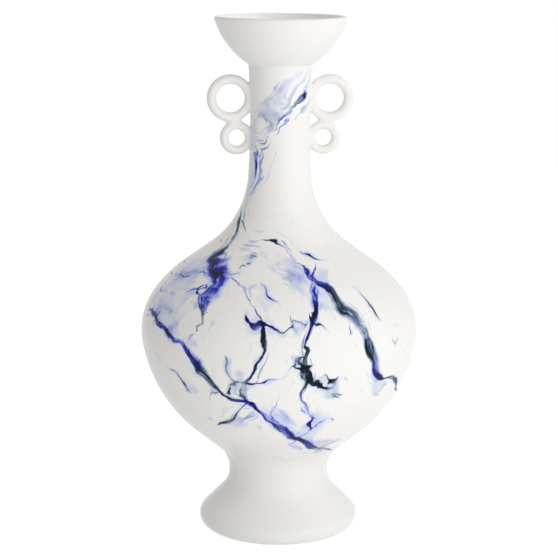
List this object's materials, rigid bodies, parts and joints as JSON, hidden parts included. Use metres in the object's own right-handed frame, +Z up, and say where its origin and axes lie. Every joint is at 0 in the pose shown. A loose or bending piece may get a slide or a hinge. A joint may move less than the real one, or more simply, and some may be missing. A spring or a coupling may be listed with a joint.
{
  "type": "vase",
  "caption": "Tall footed pottery vase with a dish-shaped mouth, a slim neck with stacked ring handles on both sides, a round belly, a narrow waist and a spreading foot.",
  "frame": {"origin": "on the table, at the middle of the ring that the foot stands on", "axes": "+Z up along the vase's own axis, which is its longest extent; the ring handles stand out along +X and -X, and the painted front looks along -Y"},
  "size_m": [0.322, 0.322, 0.6],
  "materials": {
    "glazed_clay": "gloss"
  },
  "bodies": {
    "root": {"vase": "glazed_clay"}
  },
  "joints": []
}
